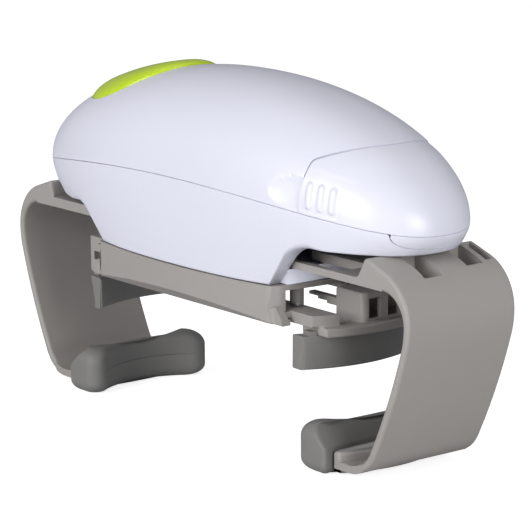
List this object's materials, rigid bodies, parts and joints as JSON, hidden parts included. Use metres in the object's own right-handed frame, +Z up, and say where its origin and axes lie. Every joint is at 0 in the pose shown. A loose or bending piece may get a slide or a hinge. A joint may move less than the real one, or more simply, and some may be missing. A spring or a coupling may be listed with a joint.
{
  "type": "electric jar opener",
  "caption": "Hands-free battery jar opener: egg-shaped housing with a round start button, sliding arms that hold the jar and a turntable whose jaws grip and turn the lid.",
  "frame": {"origin": "middle of the two jar pads' resting plane, under the axis of the turntable", "axes": "+X along the housing towards the battery cover, +Y to the left of it, +Z up along the turntable's axis"},
  "size_m": [0.2166, 0.072, 0.1219],
  "materials": {
    "white_shell": "moulded ABS, satin gloss",
    "lime_button": "moulded ABS, satin",
    "grey_plastic": "moulded ABS, fine matt texture",
    "rubber": "moulded rubber, matt",
    "steel": "plain",
    "brass": "turned",
    "nylon": "moulded acetal",
    "inner_plastic": "moulded ABS",
    "board": "solder mask",
    "switch": "moulded",
    "battery": "printed sleeve, left plain"
  },
  "bodies": {
    "housing": {"upper_shell": "white_shell", "lower_shell": "white_shell", "nose_latch": "white_shell", "button_spring": "steel", "tact_switch": "switch", "circuit_board": "board", "battery_tray": "inner_plastic", "battery_left": "battery", "battery_right": "battery", "battery_contacts": "steel", "gear_frame": "inner_plastic", "motor_plate": "inner_plastic", "drive_motor": "steel", "gear_axles": "steel", "gearbox_screws": "steel", "housing_screws": "steel"},
    "button": {"start_button": "lime_button"},
    "cover": {"battery_cover": "white_shell"},
    "front_arm": {"front_jar_arm": "grey_plastic", "front_jar_pad": "rubber"},
    "rear_arm": {"rear_jar_arm": "grey_plastic", "rear_jar_pad": "rubber"},
    "arm_gear": {"arm_pinion": "nylon"},
    "turntable": {"turntable": "grey_plastic", "drive_gear": "nylon", "retaining_ring": "steel", "jaw_screws": "steel"},
    "front_jaw": {"front_lid_jaw": "grey_plastic", "front_lid_pad": "rubber"},
    "rear_jaw": {"rear_lid_jaw": "grey_plastic", "rear_lid_pad": "rubber"},
    "jaw_gear": {"jaw_pinion": "nylon"},
    "motor_gear": {"motor_pinion": "brass"},
    "first_gear": {"first_gear": "nylon"},
    "second_gear": {"second_gear": "nylon"}
  },
  "joints": [
    {"name": "start_button_press", "type": "slide", "parent": "housing", "child": "button", "axis": [0, 0, -1], "range_m": [0, 0.0015], "stiffness_N_per_m": 500, "springref_m": -0.001, "deforming": ["button_spring"]},
    {"name": "battery_cover_slide", "type": "slide", "parent": "housing", "child": "cover", "axis": [1, 0, 0], "range_m": [0, 0.04]},
    {"name": "jar_arms_slide", "type": "slide", "parent": "housing", "child": "front_arm", "axis": [-1, 0, 0], "range_m": [0, 0.032]},
    {"name": "rear_arm_slide", "type": "slide", "parent": "housing", "child": "rear_arm", "axis": [1, 0, 0], "range_m": [0, 0.032]},
    {"name": "arm_pinion_spin", "type": "hinge", "parent": "housing", "child": "arm_gear", "pos_m": [0, 0, 0.066], "axis": [0, 0, 1], "range_deg": [0, 153]},
    {"name": "turntable_spin", "type": "hinge", "parent": "housing", "child": "turntable", "pos_m": [0, 0, 0.066], "axis": [0, 0, 1], "continuous": true},
    {"name": "second_gear_spin", "type": "hinge", "parent": "housing", "child": "second_gear", "pos_m": [-0.0272, 0, 0.079], "axis": [0, 0, 1], "continuous": true},
    {"name": "first_gear_spin", "type": "hinge", "parent": "housing", "child": "first_gear", "pos_m": [-0.00919, 0.0104, 0.081], "axis": [0, 0, 1], "continuous": true},
    {"name": "motor_spin", "type": "hinge", "parent": "housing", "child": "motor_gear", "pos_m": [0.00401, 0, 0.083], "axis": [0, 0, 1], "continuous": true},
    {"name": "lid_jaws_slide", "type": "slide", "parent": "turntable", "child": "front_jaw", "axis": [-1, 0, 0], "range_m": [0, 0.04]},
    {"name": "rear_jaw_slide", "type": "slide", "parent": "turntable", "child": "rear_jaw", "axis": [1, 0, 0], "range_m": [0, 0.04]},
    {"name": "jaw_pinion_spin", "type": "hinge", "parent": "turntable", "child": "jaw_gear", "pos_m": [0, 0, 0.055], "axis": [0, 0, 1], "range_deg": [0, 287]}
  ],
  "couplings": [
    {"joint": "rear_arm_slide", "follows": "jar_arms_slide", "ratio": 1},
    {"joint": "arm_pinion_spin", "follows": "jar_arms_slide", "rad_per_m": 83.333},
    {"joint": "second_gear_spin", "follows": "turntable_spin", "ratio": -4.6667},
    {"joint": "first_gear_spin", "follows": "turntable_spin", "ratio": 15.556},
    {"joint": "motor_spin", "follows": "turntable_spin", "ratio": -49.778},
    {"joint": "rear_jaw_slide", "follows": "lid_jaws_slide", "ratio": 1},
    {"joint": "jaw_pinion_spin", "follows": "lid_jaws_slide", "rad_per_m": 125}
  ]
}
